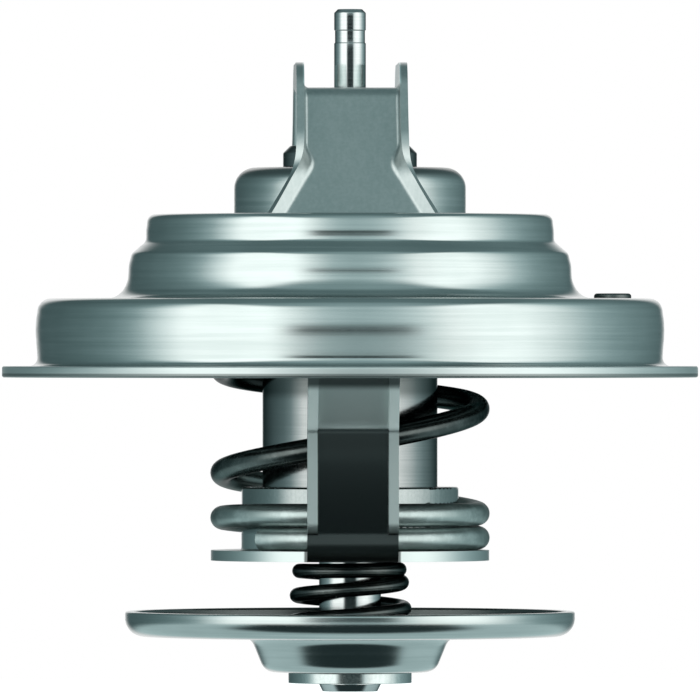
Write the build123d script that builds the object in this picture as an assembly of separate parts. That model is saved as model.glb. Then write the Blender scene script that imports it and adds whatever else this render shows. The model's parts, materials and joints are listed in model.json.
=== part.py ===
"""Wax engine thermostat insert: a stepped seat flange with an upper bridge, a lower spring frame,
a wax element that carries the main valve, and a sprung bypass disc under it.

Millimetres. The axis is Z and points up, towards the bridge and the free end of the piston.
The origin is on the axis, in the plane of the flange's underside.
"""
from build123d import *
import os
from math import cos, pi, radians, sin

# Clearances that are shared by several fits
FIT = 0.02
RUNNING = 0.05
STOP_GAP = 0.05
COIL_GAP = 0.05
ARCS_PER_TURN = 8

# Piston: fixed in the bridge, the wax element slides down along it
PISTON_DIA = 3.05
PISTON_LENGTH = 41.0
PISTON_STAND = 7.4
PISTON_CHAMFER = 0.35
PISTON_TAPER = 3.0
PISTON_TIP_DIA = 2.2
PISTON_RING_DEPTH = 0.08
PISTON_RING_WIDTH = 1.3
PISTON_RING_DROP = 2.0

# Wax element: a crimped case with its guide, boot, seals and wax
CASE_DIA = 16.85
CASE_WALL = 1.5
CASE_RIM_WALL = 0.9
CASE_FLOOR = 3.2
CASE_CORNER = 1.0
WAX_DEPTH = 7.41
CRIMP_REACH = 1.6
GUIDE_NECK_INSET = 3.425
GUIDE_NECK_DIA = CASE_DIA - 2 * GUIDE_NECK_INSET
GUIDE_HEAD_OVERHANG = 1.45
GUIDE_HEAD_DIA = GUIDE_NECK_DIA + 2 * GUIDE_HEAD_OVERHANG
GUIDE_HEAD_HEIGHT = 2.1
GUIDE_HEAD_BEVEL = 0.7
GUIDE_BASE_HEIGHT = 3.0
BOOT_WALL = 1.775
BOOT_DIA = PISTON_DIA + 2 * BOOT_WALL
BOOT_FLANGE = 0.8
BOOT_TIP = 1.5
BACKING_RING_WIDTH = 1.475
BACKING_RING_DIA = PISTON_DIA + 2 * BACKING_RING_WIDTH
BACKING_RING_HEIGHT = 0.6
WIPER_WIDTH = 1.275
WIPER_DIA = PISTON_DIA + 2 * WIPER_WIDTH
WIPER_HEIGHT = 1.1
WIPER_SINK = 0.1

# Main valve: a drawn hat with a moulded seal on its brim
VALVE_SHEET = 1.0
VALVE_HUB_CLEARANCE = 2.725
VALVE_HUB_DIA = CASE_DIA + 2 * VALVE_HUB_CLEARANCE
VALVE_HUB_RISE = 6.5
VALVE_HUB_BEND = 1.9
VALVE_ROOT_BEND = 0.6
VALVE_BRIM = 5.65
VALVE_DIA = VALVE_HUB_DIA + 2 * VALVE_BRIM
VALVE_EDGE = 2.2
VALVE_EDGE_BEND = 1.3
SEAL_SHEET = 0.85
SEAL_WIDTH = 2.6
SEAL_GAP = 0.05

# Seat flange: one drawn sheet with three steps round the valve and a port at the top
SEAT_SHEET = 1.1
SEAT_OVERLAP = 2.8
PORT_DIA = VALVE_DIA - 2 * SEAT_OVERLAP
SEAL_CLEARANCE = 0.95
CROWN_DIA = VALVE_DIA + 2 * (SEAL_SHEET + SEAL_CLEARANCE + SEAT_SHEET)
STEP_WIDTH = 1.35
STEP_DIA = CROWN_DIA + 2 * STEP_WIDTH
STEP_TAPER = 0.7
STEP_ROOT_DIA = STEP_DIA + 2 * STEP_TAPER
SHOULDER_WIDTH = 9.05
SKIRT_DIA = STEP_DIA + 2 * SHOULDER_WIDTH
FLANGE_RIM = 3.4
FLANGE_DIA = SKIRT_DIA + 2 * FLANGE_RIM
SKIRT_HEIGHT = 7.6
STEP_RISE = 4.1
STEP_HEIGHT = SKIRT_HEIGHT + STEP_RISE
NECK_RISE = 1.35
CROWN_NECK_HEIGHT = STEP_HEIGHT + NECK_RISE
CROWN_RISE = 2.65
CROWN_HEIGHT = CROWN_NECK_HEIGHT + CROWN_RISE
SKIRT_BEND = 1.3
SKIRT_BEND_ROOT = 0.8
STEP_BEND_ROOT = 2.0
CROWN_BEND = 1.15
CROWN_BEND_ROOT = 0.6

# Vent in the shoulder of the flange: an eyelet that holds a loose ball
VENT_INSET = 4.25
VENT_RADIUS = STEP_DIA / 2 + VENT_INSET
VENT_BALL_DIA = 1.9
VENT_BALL_CLEARANCE = 0.12
VENT_WALL = 0.43
VENT_BODY_DIA = VENT_BALL_DIA + 2 * (VENT_BALL_CLEARANCE + VENT_WALL)
VENT_HEAD_OVERHANG = 0.3
VENT_HEAD_DIA = VENT_BODY_DIA + 2 * VENT_HEAD_OVERHANG
VENT_HEAD_HEIGHT = 0.5
VENT_SEAT_WIDTH = 0.35
VENT_MOUTH_DIA = VENT_BALL_DIA - 2 * VENT_SEAT_WIDTH
VENT_FOOT = 1.6
VENT_LIP = 0.4

# Upper bridge: a channel strap that holds the piston over the port
BRIDGE_SHEET = 0.75
BRIDGE_WIDTH = 10.6
BRIDGE_RISE = 12.36
BRIDGE_LIP = 2.4
BRIDGE_FOOT_INSET = 3.9
BRIDGE_LEAN = 7.3
BRIDGE_FLARE = 3.2
BRIDGE_FLARE_HEIGHT = 5.2
BRIDGE_FLARE_BEND = 4.0
BRIDGE_BEND = 2.0

# Lower frame: two channel legs that carry the spring plate and its guide collar
FRAME_SHEET = 1.0
COLLAR_STEP = 2.025
COLLAR_DIA = CASE_DIA + 2 * COLLAR_STEP
COLLAR_HEIGHT = 7.1
COLLAR_EDGE = 0.25
COLLAR_ROOT = 0.3
SLIDE_CLEARANCE = 0.1
CASE_PROUD = 0.1
FRAME_LEG_WIDTH = 8.7
FRAME_LIP = 1.4
FRAME_LIP_FOOT = 0.6
FRAME_LIP_ROUND = 1.2
FRAME_KNEE_DROP = 4.6
FRAME_TOE = 3.6
FRAME_TOE_INSET = 1.9
FRAME_BEND = 2.0
LEG_CLEARANCE = 0.5

# Main spring, round the collar, and the plate that it stands on
SPRING_WIRE = 2.25
SPRING_CLEARANCE = 0.75
SPRING_DIA = COLLAR_DIA + 2 * (SPRING_CLEARANCE + SPRING_WIRE)
SPRING_FLAT_TURNS = 0.375
SPRING_CLIMB_TURNS = 0.375
SPRING_OPEN_TURNS = 2.125
SPRING_CLOSED_TURNS = 0.75
SPRING_START_ANGLE = -135.0
PLATE_INSET = 0.05
FRAME_PLATE_DIA = SPRING_DIA - 2 * PLATE_INSET

# Bypass rod, disc, spring and retaining clip
ROD_DIA = 5.96
ROD_LENGTH = 12.5
ROD_SPIGOT_STEP = 0.98
ROD_SPIGOT_DIA = ROD_DIA - 2 * ROD_SPIGOT_STEP
ROD_SPIGOT_LENGTH = 2.4
ROD_END_BEVEL = 0.4
CLIP_GROOVE_DEPTH = 0.68
CLIP_GROOVE_DIA = ROD_DIA - 2 * CLIP_GROOVE_DEPTH
CLIP_WIDTH = 2.97
CLIP_DIA = ROD_DIA + 2 * CLIP_WIDTH
CLIP_SHEET = 1.0
CLIP_FROM_END = 0.8
CLIP_MOUTH = 4.2
BYPASS_SPRING_WIRE = 1.4
BYPASS_SPRING_CLEARANCE = 1.02
BYPASS_SPRING_DIA = ROD_DIA + 2 * (BYPASS_SPRING_CLEARANCE + BYPASS_SPRING_WIRE)
BYPASS_SPRING_SPREAD = 0.9
BYPASS_SPRING_FOOT_DIA = BYPASS_SPRING_DIA + 2 * BYPASS_SPRING_SPREAD
BYPASS_SPRING_OPEN_TURNS = 2.75
BYPASS_SPRING_CLOSED_TURNS = 0.5
BYPASS_SPRING_START_ANGLE = 205.0
DISC_SHEET = 1.0
DISC_BOSS_MARGIN = 1.9
DISC_BOSS_DIA = BYPASS_SPRING_FOOT_DIA + 2 * DISC_BOSS_MARGIN
DISC_BOSS_DEPTH = 3.45
DISC_BOSS_FLARE = 1.4
DISC_BOSS_BEND = 1.4
DISC_ROOT_BEND = 0.6
DISC_PAN_WIDTH = 13.45
DISC_DIA = DISC_BOSS_DIA + 2 * DISC_PAN_WIDTH
DISC_RIM = 2.4
DISC_RIM_BEND = 1.4

# Heights worked out from the sizes above
seat_under = CROWN_HEIGHT - SEAT_SHEET
shoulder_under = SKIRT_HEIGHT - SEAT_SHEET
bridge_top = CROWN_HEIGHT + BRIDGE_RISE
brim_top = seat_under - SEAL_GAP - SEAL_SHEET
brim_under = brim_top - VALVE_SHEET
hub_top = brim_top + VALVE_HUB_RISE
hub_under = hub_top - VALVE_SHEET
guide_top = hub_top + GUIDE_HEAD_HEIGHT
crimp_under = hub_under - CASE_RIM_WALL
guide_bottom = crimp_under - GUIDE_BASE_HEIGHT
ledge = guide_bottom - BOOT_FLANGE
piston_top = bridge_top + PISTON_STAND
piston_tip = piston_top - PISTON_LENGTH
boot_end = piston_tip - RUNNING - BOOT_TIP
case_bottom = boot_end - WAX_DEPTH - CASE_FLOOR
plate_under = case_bottom + CASE_PROUD
plate_top = plate_under + FRAME_SHEET
rod_end = case_bottom - ROD_LENGTH
clip_under = rod_end + CLIP_FROM_END
clip_top = clip_under + CLIP_SHEET
boss_under = clip_top + STOP_GAP
boss_floor = boss_under + DISC_SHEET
disc_under = boss_under + DISC_BOSS_DEPTH


def bent_sheet(points, bends, thickness):
    """Section of a bent sheet: a line of one face with rounded bends, thickened to its left."""
    face_line = FilletPolyline(*points, radius=bends)
    return make_face(offset(face_line, thickness, side=Side.LEFT))


def turned(section):
    """Turns a section, drawn as radius and height, about the axis."""
    return revolve(Plane.XZ * section, Axis.Z)


def turned_polygon(points):
    """Turns a straight-sided section, given as radius and height, about the axis."""
    return turned(make_face(Polyline(*points, close=True)))


def across(section, width):
    """A side view, drawn as Y and height, given a width across X."""
    return extrude(Plane.YZ * section, amount=width / 2, both=True)


def through(section, depth):
    """A front view, drawn as X and height, carried through in Y."""
    return extrude(Plane.XZ * section, amount=depth / 2, both=True)


def make_seat_flange():
    """Rim, skirt, step and crown as one drawn sheet, with the port and the vent hole."""
    face_line = [
        (FLANGE_DIA / 2, SEAT_SHEET),
        (SKIRT_DIA / 2, SEAT_SHEET),
        (SKIRT_DIA / 2, SKIRT_HEIGHT),
        (STEP_ROOT_DIA / 2, SKIRT_HEIGHT),
        (STEP_DIA / 2, STEP_HEIGHT),
        (CROWN_DIA / 2, CROWN_NECK_HEIGHT),
        (CROWN_DIA / 2, CROWN_HEIGHT),
        (PORT_DIA / 2, CROWN_HEIGHT),
    ]
    bends = [
        SKIRT_BEND_ROOT,
        SKIRT_BEND,
        STEP_BEND_ROOT,
        CROWN_BEND,
        CROWN_BEND_ROOT,
        CROWN_BEND,
    ]
    flange = turned(bent_sheet(face_line, bends, SEAT_SHEET))
    vent_hole = Cylinder(VENT_BODY_DIA / 2 + FIT, 3 * SKIRT_HEIGHT)
    return flange - Pos(VENT_RADIUS, 0, SKIRT_HEIGHT) * vent_hole


def make_vent_eyelet():
    """Eyelet set in the shoulder: a head on top, a rolled foot below, and a chamber for the ball."""
    head_top = SKIRT_HEIGHT + VENT_HEAD_HEIGHT
    foot = shoulder_under - VENT_FOOT
    chamber = VENT_BALL_DIA / 2 + VENT_BALL_CLEARANCE
    section = [
        (VENT_MOUTH_DIA / 2, head_top),
        (VENT_HEAD_DIA / 2, head_top),
        (VENT_HEAD_DIA / 2, SKIRT_HEIGHT),
        (VENT_BODY_DIA / 2, SKIRT_HEIGHT),
        (VENT_BODY_DIA / 2, shoulder_under),
        (VENT_HEAD_DIA / 2, shoulder_under),
        (VENT_HEAD_DIA / 2, foot),
        (VENT_MOUTH_DIA / 2, foot),
        (VENT_MOUTH_DIA / 2, foot + VENT_LIP),
        (chamber, foot + VENT_LIP),
        (chamber, head_top - VENT_LIP),
        (VENT_MOUTH_DIA / 2, head_top - VENT_LIP),
    ]
    return Pos(VENT_RADIUS, 0, 0) * turned_polygon(section)


def vent_ball_height():
    """Centre of the ball where it lies on the lower mouth of its eyelet."""
    drop = ((VENT_BALL_DIA / 2) ** 2 - (VENT_MOUTH_DIA / 2) ** 2) ** 0.5
    return shoulder_under - VENT_FOOT + VENT_LIP + drop + RUNNING


def make_vent_ball():
    """Loose ball of the vent."""
    return Pos(VENT_RADIUS, 0, vent_ball_height()) * Sphere(VENT_BALL_DIA / 2)


def make_upper_bridge():
    """Channel strap over the port: a web welded to the crown at both feet, and lips that flare out there."""
    crown_flat = CROWN_DIA / 2 - CROWN_BEND
    half_foot = CROWN_DIA / 2 - BRIDGE_FOOT_INSET
    half_top = half_foot - BRIDGE_LEAN
    half_width = BRIDGE_WIDTH / 2

    # Web and lips run on below the crown's face, so that they end square on it once the base is cut off.
    side_line = [
        (half_foot + BRIDGE_LEAN, CROWN_HEIGHT - BRIDGE_RISE),
        (half_top, bridge_top),
        (-half_top, bridge_top),
        (-half_foot - BRIDGE_LEAN, CROWN_HEIGHT - BRIDGE_RISE),
    ]
    bends = [BRIDGE_BEND] * 2
    web = across(bent_sheet(side_line, bends, BRIDGE_SHEET), CROWN_DIA)
    lip = across(bent_sheet(side_line[::-1], bends, BRIDGE_LIP), CROWN_DIA)

    edge_line = [
        (half_width + 2 * BRIDGE_FLARE, CROWN_HEIGHT - BRIDGE_FLARE_HEIGHT),
        (half_width, CROWN_HEIGHT + BRIDGE_FLARE_HEIGHT),
        (half_width, bridge_top + 2 * BRIDGE_LIP),
    ]
    edge = bent_sheet(edge_line, [BRIDGE_FLARE_BEND], BRIDGE_SHEET)
    edges = edge + mirror(edge, Plane.YZ)
    front_line = [
        (0, CROWN_HEIGHT - BRIDGE_FLARE_HEIGHT),
        *edge_line,
        (0, bridge_top + 2 * BRIDGE_LIP),
    ]
    front = make_face(FilletPolyline(*front_line, radius=[0, 0, BRIDGE_FLARE_BEND, 0, 0], close=True))
    front_view = front + mirror(front, Plane.YZ)

    strap = (web & through(front_view, CROWN_DIA)) + (lip & through(edges, CROWN_DIA))
    base = Pos(0, 0, CROWN_HEIGHT) * Cylinder(
        crown_flat, 2 * BRIDGE_RISE, align=(Align.CENTER, Align.CENTER, Align.MIN)
    )
    return (strap & base) - Pos(0, 0, bridge_top) * Cylinder(PISTON_DIA / 2 + FIT, BRIDGE_RISE)


def make_piston():
    """Polished piston: a bevelled free end, a shallow ring below it and a tapered tip in the boot."""
    radius = PISTON_DIA / 2
    ring_top = piston_top - PISTON_RING_DROP
    ring_bottom = ring_top - PISTON_RING_WIDTH
    ring_radius = radius - PISTON_RING_DEPTH
    return turned_polygon(
        [
            (0, piston_top),
            (radius - PISTON_CHAMFER, piston_top),
            (radius, piston_top - PISTON_CHAMFER),
            (radius, ring_top),
            (ring_radius, ring_top - PISTON_RING_DEPTH),
            (ring_radius, ring_bottom + PISTON_RING_DEPTH),
            (radius, ring_bottom),
            (radius, piston_tip + PISTON_TAPER),
            (PISTON_TIP_DIA / 2, piston_tip),
            (0, piston_tip),
        ]
    )


def make_main_valve():
    """Valve hat: a hub clamped by the element's guide, and a brim with a turned-down edge."""
    face_line = [
        (VALVE_DIA / 2, brim_top - VALVE_EDGE),
        (VALVE_DIA / 2, brim_top),
        (VALVE_HUB_DIA / 2, brim_top),
        (VALVE_HUB_DIA / 2, hub_top),
        (GUIDE_NECK_DIA / 2 + FIT, hub_top),
    ]
    return turned(bent_sheet(face_line, [VALVE_EDGE_BEND, VALVE_ROOT_BEND, VALVE_HUB_BEND], VALVE_SHEET))


def make_valve_seal():
    """Moulded ring that wraps the edge of the brim and meets the underside of the crown."""
    inner = VALVE_DIA / 2 - SEAL_WIDTH
    outer = VALVE_DIA / 2 + SEAL_SHEET
    face_line = [
        (outer, brim_top - VALVE_EDGE),
        (outer, brim_top + SEAL_SHEET),
        (inner, brim_top + SEAL_SHEET),
    ]
    return turned(bent_sheet(face_line, [VALVE_EDGE_BEND + SEAL_SHEET], SEAL_SHEET - FIT))


def make_element_case():
    """Deep cup with a thick floor, a ledge for the boot and a rim crimped over the guide."""
    outer = CASE_DIA / 2
    rim_inner = outer - CASE_RIM_WALL
    cup = turned_polygon(
        [
            (0, case_bottom),
            (outer, case_bottom),
            (outer, hub_under),
            (rim_inner - CRIMP_REACH, hub_under),
            (rim_inner - CRIMP_REACH, crimp_under),
            (rim_inner, crimp_under),
            (rim_inner, ledge),
            (outer - CASE_WALL, ledge),
            (outer - CASE_WALL, case_bottom + CASE_FLOOR),
            (0, case_bottom + CASE_FLOOR),
        ]
    )
    levels = cup.edges().filter_by(GeomType.CIRCLE).group_by(Axis.Z)
    cup = fillet(levels[0].sort_by(SortBy.RADIUS)[-1], CASE_CORNER)
    levels = cup.edges().filter_by(GeomType.CIRCLE).group_by(Axis.Z)
    cup = fillet(levels[-1].sort_by(SortBy.RADIUS)[-1], CASE_RIM_WALL / 2)
    spigot_hole = Cylinder(
        ROD_SPIGOT_DIA / 2 + FIT, ROD_SPIGOT_LENGTH + FIT, align=(Align.CENTER, Align.CENTER, Align.MIN)
    )
    return cup - Pos(0, 0, case_bottom) * spigot_hole


def make_element_guide():
    """Turned guide: a head over the valve hub, a neck through it and a base inside the crimp."""
    bore = PISTON_DIA / 2 + RUNNING
    base = CASE_DIA / 2 - CASE_RIM_WALL - FIT
    step = base - CRIMP_REACH - FIT
    head = GUIDE_HEAD_DIA / 2
    neck = GUIDE_NECK_DIA / 2
    wiper_floor = guide_top - WIPER_HEIGHT - WIPER_SINK
    ring = BACKING_RING_DIA / 2 + FIT
    return turned_polygon(
        [
            (WIPER_DIA / 2 + FIT, guide_top),
            (head - GUIDE_HEAD_BEVEL, guide_top),
            (head, guide_top - GUIDE_HEAD_BEVEL),
            (head, hub_top),
            (neck, hub_top),
            (neck, hub_under),
            (step, hub_under),
            (step, crimp_under),
            (base, crimp_under),
            (base, guide_bottom),
            (ring, guide_bottom),
            (ring, guide_bottom + BACKING_RING_HEIGHT + FIT),
            (bore, guide_bottom + BACKING_RING_HEIGHT + FIT),
            (bore, wiper_floor),
            (WIPER_DIA / 2 + FIT, wiper_floor),
        ]
    )


def make_ring(inner_dia, outer_dia, bottom, height):
    """Plain ring on the axis."""
    inner, outer, top = inner_dia / 2, outer_dia / 2, bottom + height
    return turned_polygon([(inner, bottom), (outer, bottom), (outer, top), (inner, top)])


def make_rubber_boot():
    """Boot that the wax squeezes: a clamped flange and a closed sleeve round the piston's tip."""
    bore = PISTON_DIA / 2 + 2 * RUNNING
    bore_bottom = piston_tip - RUNNING
    flange = CASE_DIA / 2 - CASE_RIM_WALL - FIT
    return turned_polygon(
        [
            (bore, guide_bottom - FIT),
            (flange, guide_bottom - FIT),
            (flange, ledge + FIT),
            (BOOT_DIA / 2, ledge + FIT),
            (BOOT_DIA / 2, boot_end),
            (0, boot_end),
            (0, bore_bottom),
            (PISTON_TIP_DIA / 2 + RUNNING, bore_bottom),
            (bore, piston_tip + PISTON_TAPER),
        ]
    )


def make_wax_charge():
    """Wax that fills the case round the boot."""
    outer = CASE_DIA / 2 - CASE_WALL - FIT
    floor = case_bottom + CASE_FLOOR + FIT
    top = boot_end - FIT
    boot = BOOT_DIA / 2 + FIT
    return turned_polygon(
        [(0, floor), (outer, floor), (outer, ledge), (boot, ledge), (boot, top), (0, top)]
    )


def make_lower_frame():
    """Spring plate with its guide collar, hung on two channel legs from the shoulder of the flange."""
    leg_outer = SPRING_DIA / 2 + LEG_CLEARANCE + FRAME_SHEET
    toe_under = shoulder_under - FRAME_SHEET - FIT
    toe_tip = SKIRT_DIA / 2 - SEAT_SHEET - FRAME_TOE_INSET
    toe_root = toe_tip - FRAME_TOE
    half_side = [
        (leg_outer, plate_under),
        (leg_outer, -FRAME_KNEE_DROP),
        (toe_root, toe_under),
        (toe_tip, toe_under),
    ]
    side_line = [(-y, z) for y, z in reversed(half_side)] + half_side
    bends = [FRAME_BEND] * (len(side_line) - 2)
    strap = across(bent_sheet(side_line, bends, FRAME_SHEET), FRAME_LEG_WIDTH)
    keep_out = Cylinder(COLLAR_DIA / 2 + FRAME_SHEET + COLLAR_ROOT, 3 * (toe_under - plate_under))

    # A stiffening lip runs up both edges of each leg, from above the lower bend to the toe.
    lip_line = [half_side[2], half_side[1], (leg_outer, plate_under + FRAME_BEND + FRAME_LIP_FOOT)]
    lip = bent_sheet(lip_line, [FRAME_BEND], FRAME_LIP)
    lip_foot = lip.vertices().group_by(Axis.Y)[0].sort_by(Axis.X)[-1]
    lip = Plane.YZ * fillet(lip_foot, min(FRAME_LIP_ROUND, 0.9 * FRAME_LIP))
    edge = Pos(FRAME_LEG_WIDTH / 2 - FRAME_SHEET, 0, 0) * extrude(lip, amount=FRAME_SHEET, dir=(1, 0, 0))
    pair = edge + mirror(edge, Plane.YZ)
    lips = pair + mirror(pair, Plane.XZ)

    hole = CASE_DIA / 2 + SLIDE_CLEARANCE
    collar_outer = COLLAR_DIA / 2
    collar_inner = collar_outer - FRAME_SHEET
    collar_top = plate_under + COLLAR_HEIGHT
    corners = [
        ((hole, collar_top), 0),
        ((collar_outer, collar_top), COLLAR_EDGE),
        ((collar_outer, plate_top), COLLAR_ROOT),
        ((FRAME_PLATE_DIA / 2, plate_top), 0),
        ((FRAME_PLATE_DIA / 2, plate_under), 0),
        ((collar_inner, plate_under), COLLAR_ROOT + FRAME_SHEET),
        ((collar_inner, collar_top - FRAME_SHEET), COLLAR_EDGE),
        ((hole, collar_top - FRAME_SHEET), 0),
    ]
    points, radii = zip(*corners)
    collar = turned(make_face(FilletPolyline(*points, radius=list(radii), close=True)))
    return (strap - keep_out) + lips + collar


def spring_wire(wire, runs, bottom, top, start_angle, foot_radius, head_radius):
    """Right-handed compression spring, wound from the bottom seat to the top one.

    Its centre line is a chain of arcs, each tangent to the last. A run is a number of turns and its rise in
    a turn, and the run without a rise fills the height. An arc between two runs rises by the mean of both.
    """

    def rises_with(open_rise):
        steps = [open_rise if rise is None else rise / ARCS_PER_TURN for _, rise in runs]
        rises = [steps[0]] * round(runs[0][0] * ARCS_PER_TURN)
        for (turns, _), last, step in zip(runs[1:], steps, steps[1:]):
            rises += [(last + step) / 2, *[step] * round(turns * ARCS_PER_TURN)]
        return rises

    ends = sum(rises_with(0))
    rises = rises_with((top - bottom - wire - ends) / (sum(rises_with(1)) - ends))

    def centre(arc):
        angle = radians(start_angle + 360 * arc / ARCS_PER_TURN)
        radius = foot_radius + (head_radius - foot_radius) * arc / len(rises)
        return Vector(radius * cos(angle), radius * sin(angle), bottom + wire / 2 + sum(rises[:arc]))

    points = [centre(arc) for arc in range(len(rises) + 1)]
    outward = Vector(points[0].X, points[0].Y, 0)
    turn = 2 * pi / ARCS_PER_TURN
    heading = Vector(-outward.Y * turn, outward.X * turn, rises[0])
    arcs = []
    for start, end in zip(points, points[1:]):
        arcs.append(TangentArc(start, end, tangent=heading))
        heading = arcs[-1] % 1
    path = Wire(arcs)
    section = Plane(path @ 0, z_dir=path % 0) * Circle(wire / 2)
    return sweep(section, path=path)


def make_main_spring():
    """Main spring between the frame's plate and the valve's brim.

    Its first turn lies flat on the plate, climbs over its own end by one wire and lies flat on itself.
    """
    mean = (SPRING_DIA - SPRING_WIRE) / 2
    step = SPRING_WIRE + COIL_GAP
    runs = [
        (SPRING_FLAT_TURNS, 0),
        (SPRING_CLIMB_TURNS, step / (SPRING_CLIMB_TURNS + 1 / ARCS_PER_TURN)),
        (SPRING_FLAT_TURNS, 0),
        (SPRING_OPEN_TURNS, None),
        (SPRING_CLOSED_TURNS, step),
    ]
    return spring_wire(SPRING_WIRE, runs, plate_top + FIT, brim_under - FIT, SPRING_START_ANGLE, mean, mean)


def make_bypass_rod():
    """Rod under the case: a spigot set in the case's floor and a groove for the clip."""
    radius = ROD_DIA / 2
    groove = CLIP_GROOVE_DIA / 2
    return turned_polygon(
        [
            (0, case_bottom + ROD_SPIGOT_LENGTH),
            (ROD_SPIGOT_DIA / 2, case_bottom + ROD_SPIGOT_LENGTH),
            (ROD_SPIGOT_DIA / 2, case_bottom),
            (radius, case_bottom),
            (radius, clip_top + FIT),
            (groove, clip_top + FIT),
            (groove, clip_under - FIT),
            (radius, clip_under - FIT),
            (radius, rod_end + ROD_END_BEVEL),
            (radius - ROD_END_BEVEL, rod_end),
            (0, rod_end),
        ]
    )


def make_retaining_clip():
    """Open ring in the rod's groove, with its mouth at the back and three prongs inside."""
    groove = CLIP_GROOVE_DIA / 2 + FIT
    pocket = (CLIP_DIA / 2 + groove) / 2
    mouth = Pos(0, CLIP_DIA / 2) * Rectangle(CLIP_MOUTH, CLIP_DIA)
    pockets = [
        Rot(0, 0, angle) * Pos(pocket - groove / 2, 0) * SlotOverall(2 * groove, groove, rotation=90)
        for angle in (200, -20)
    ]
    ring = Circle(CLIP_DIA / 2) - Circle(groove) - mouth
    for relief in pockets:
        ring -= relief
    return Pos(0, 0, clip_under) * extrude(ring, amount=CLIP_SHEET)


def make_bypass_disc():
    """Shallow pan with an upturned rim and a drawn boss that the rod passes through."""
    boss_foot = DISC_BOSS_DIA / 2
    face_line = [
        (ROD_DIA / 2 + RUNNING, boss_under),
        (boss_foot, boss_under),
        (boss_foot + DISC_BOSS_FLARE, disc_under),
        (DISC_DIA / 2, disc_under),
        (DISC_DIA / 2, disc_under + DISC_RIM),
    ]
    return turned(bent_sheet(face_line, [DISC_BOSS_BEND, DISC_ROOT_BEND, DISC_RIM_BEND], DISC_SHEET))


def make_bypass_spring():
    """Tapered spring between the case's floor and the floor of the disc's boss, with closed ends."""
    wire = BYPASS_SPRING_WIRE
    foot = (BYPASS_SPRING_FOOT_DIA - wire) / 2
    head = (BYPASS_SPRING_DIA - wire) / 2
    closed = (BYPASS_SPRING_CLOSED_TURNS, wire + COIL_GAP)
    runs = [closed, (BYPASS_SPRING_OPEN_TURNS, None), closed]
    start = BYPASS_SPRING_START_ANGLE
    return spring_wire(wire, runs, boss_floor + FIT, case_bottom - FIT, start, foot, head)


def make_parts():
    """Every piece by the name of its node."""
    bore = PISTON_DIA + 2 * RUNNING
    return {
        "seat_flange": make_seat_flange(),
        "vent_eyelet": make_vent_eyelet(),
        "vent_ball": make_vent_ball(),
        "upper_bridge": make_upper_bridge(),
        "piston": make_piston(),
        "main_valve": make_main_valve(),
        "valve_seal": make_valve_seal(),
        "element_case": make_element_case(),
        "element_guide": make_element_guide(),
        "backing_ring": make_ring(bore, BACKING_RING_DIA, guide_bottom, BACKING_RING_HEIGHT),
        "wiper_seal": make_ring(bore, WIPER_DIA, guide_top - WIPER_SINK - WIPER_HEIGHT + FIT, WIPER_HEIGHT),
        "rubber_boot": make_rubber_boot(),
        "wax_charge": make_wax_charge(),
        "lower_frame": make_lower_frame(),
        "main_spring": make_main_spring(),
        "bypass_rod": make_bypass_rod(),
        "bypass_spring": make_bypass_spring(),
        "bypass_disc": make_bypass_disc(),
        "retaining_clip": make_retaining_clip(),
    }


os.makedirs("parts", exist_ok=True)
for name, shape in make_parts().items():
    export_step(shape, f"parts/{name}.step")
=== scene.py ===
"""Looks of the engine coolant valve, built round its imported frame.

Every piece is worked out in millimetres in the frame of the solids and put into its mesh in metres. The
sizes repeat those of the part's source, with fuller bends and slight swells that carry the light. Turned
pieces are closed sections carried round the axis, springs are wire carried along a coil, the bridge is a
channel carried along a bent line, and the lower frame and the clip are eased copies of their solids.
"""
import json
from math import ceil, cos, pi, radians, sin
from typing import NamedTuple

import bmesh
import bpy
import numpy as np
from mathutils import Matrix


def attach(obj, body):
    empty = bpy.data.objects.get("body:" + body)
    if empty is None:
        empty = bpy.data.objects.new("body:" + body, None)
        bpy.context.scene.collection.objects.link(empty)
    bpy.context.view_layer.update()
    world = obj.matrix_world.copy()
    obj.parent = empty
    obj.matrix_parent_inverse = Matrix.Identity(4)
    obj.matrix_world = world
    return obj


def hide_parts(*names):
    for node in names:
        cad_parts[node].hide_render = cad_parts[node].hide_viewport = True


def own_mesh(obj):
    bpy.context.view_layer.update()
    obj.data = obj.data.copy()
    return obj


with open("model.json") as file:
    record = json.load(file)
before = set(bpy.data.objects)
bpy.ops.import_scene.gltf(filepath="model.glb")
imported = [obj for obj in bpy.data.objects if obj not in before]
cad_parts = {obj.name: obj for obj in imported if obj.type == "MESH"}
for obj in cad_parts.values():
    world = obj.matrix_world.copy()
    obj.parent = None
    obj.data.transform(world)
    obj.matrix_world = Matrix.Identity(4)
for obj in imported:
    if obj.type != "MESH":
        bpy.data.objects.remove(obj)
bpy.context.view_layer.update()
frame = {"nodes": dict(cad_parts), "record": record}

MM = 0.001

# Fineness of the meshes: arcs in radians, runs in millimetres and merging distances in metres
ARC_STEP = 0.13
LEAST_ARC_POINTS = 4
STRAIGHT_ANGLE = 1e-6
LONGEST_RUN = 0.5
SEAT_LONGEST_RUN = 0.3
MERGE_DISTANCE = 1e-7
SOLID_MERGE_DISTANCE = 1e-6
FLAT_ANGLE = radians(0.4)
SHARP_ANGLE = radians(38)
BEVEL_SEGMENTS = 4
STEPS_ROUND = {
    "drawn_seat": 280, "vent_bore": 48, "rolled_eyelet": 64, "polished_piston": 72, "valve_hat": 220,
    "moulded_seal": 200, "plated_case": 160, "turned_guide": 120, "grooved_rod": 96, "drawn_pan": 260,
}
STRAP_ROWS = 120
STRAP_SCAN = 4000
WEB_COLUMNS = 7
ROOT_COLUMNS = 13
LIP_COLUMNS = 5
COIL_STEPS_PER_TURN = 96
ARCS_PER_TURN = 8

# Corner radii of turned pieces, in millimetres
SQUARE = 0.0
HAIR = 0.04
FINE = 0.06
SLIGHT = 0.08
SMALL = 0.1
EASED = 0.15
SOFT = 0.2

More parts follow.
